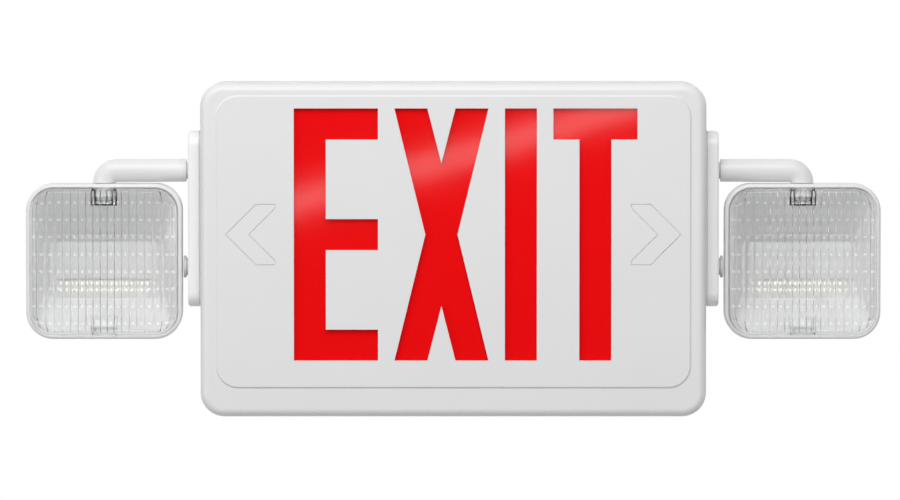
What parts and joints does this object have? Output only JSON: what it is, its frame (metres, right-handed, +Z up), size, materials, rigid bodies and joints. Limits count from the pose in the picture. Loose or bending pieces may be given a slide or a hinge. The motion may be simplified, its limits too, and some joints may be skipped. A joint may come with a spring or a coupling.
{
  "type": "combination exit sign and emergency light",
  "caption": "Wall-mounted exit sign with a stencilled legend over a red lens and two swivelling square lamp heads on side arms.",
  "frame": {"origin": "centre of the back face, on the wall, midway between the two junction-box screws", "axes": "+X to the viewer's right, +Z up, -Y out of the wall towards the viewer; +Y into the wall"},
  "size_m": [0.5184, 0.05, 0.2022],
  "materials": {
    "white_plastic": "injection-moulded white ABS, satin",
    "red_lens": "translucent red acrylic sheet, polished",
    "clear_lens": "clear fluted polycarbonate",
    "tray_white": "white high-reflectance plastic",
    "circuit_board": "glass-fibre board with green mask",
    "lamp_board": "aluminium-backed board with white mask",
    "led_chip": "white chip with yellow phosphor",
    "zinc_steel": "zinc-plated steel",
    "core_steel": "varnished laminations",
    "winding_tape": "yellow polyester tape over the winding",
    "black_plastic": "moulded black plastic",
    "green_plastic": "moulded green plastic",
    "battery_sleeve": "blue heat-shrink sleeve",
    "button_plastic": "red plastic",
    "pilot_lens": "tinted clear plastic"
  },
  "bodies": {
    "housing": {"battery_pack": "battery_sleeve", "battery_strap": "zinc_steel", "blank_plug_left": "white_plastic", "blank_plug_right": "white_plastic", "board_components": "black_plastic", "board_screws": "zinc_steel", "charger_board": "circuit_board", "exit_lens": "red_lens", "front_cover": "white_plastic", "letter_board_lower": "circuit_board", "letter_board_upper": "circuit_board", "letter_leds_lower": "led_chip", "letter_leds_upper": "led_chip", "light_tray": "tray_white", "pilot_led": "pilot_lens", "pilot_lens": "pilot_lens", "plate_screw_left": "zinc_steel", "plate_screw_right": "zinc_steel", "rear_housing": "white_plastic", "side_plate_left": "white_plastic", "side_plate_right": "white_plastic", "strap_screws": "zinc_steel", "terminal_block": "green_plastic", "test_switch": "black_plastic", "transformer_coil": "winding_tape", "transformer_core": "core_steel"},
    "arm_left": {"arm_clip_left": "zinc_steel", "arm_left": "white_plastic", "lamp_clip_left": "zinc_steel"},
    "arm_right": {"arm_clip_right": "zinc_steel", "arm_right": "white_plastic", "lamp_clip_right": "zinc_steel"},
    "lamp_left": {"lamp_board_left": "lamp_board", "lamp_leds_left": "led_chip", "lamp_lens_left": "clear_lens", "lamp_reflector_left": "tray_white", "lamp_shell_left": "white_plastic"},
    "lamp_right": {"lamp_board_right": "lamp_board", "lamp_leds_right": "led_chip", "lamp_lens_right": "clear_lens", "lamp_reflector_right": "tray_white", "lamp_shell_right": "white_plastic"},
    "button": {"test_button": "button_plastic"}
  },
  "joints": [
    {"name": "arm_left_swing", "type": "hinge", "parent": "housing", "child": "arm_left", "pos_m": [-0.1569, -0.022, 0.0473], "axis": [-1, 0, 0], "range_deg": [0, 180]},
    {"name": "lamp_left_pan", "type": "hinge", "parent": "arm_left", "child": "lamp_left", "pos_m": [-0.21185, -0.022, 0.035], "axis": [0, 0, 1], "range_deg": [-175, 175]},
    {"name": "arm_right_swing", "type": "hinge", "parent": "housing", "child": "arm_right", "pos_m": [0.1569, -0.022, 0.0473], "axis": [-1, 0, 0], "range_deg": [0, 180]},
    {"name": "lamp_right_pan", "type": "hinge", "parent": "arm_right", "child": "lamp_right", "pos_m": [0.21185, -0.022, 0.035], "axis": [0, 0, 1], "range_deg": [-175, 175]},
    {"name": "test_button_press", "type": "slide", "parent": "housing", "child": "button", "axis": [0, 0, 1], "range_m": [0, 0.0015], "stiffness_N_per_m": 1500}
  ]
}
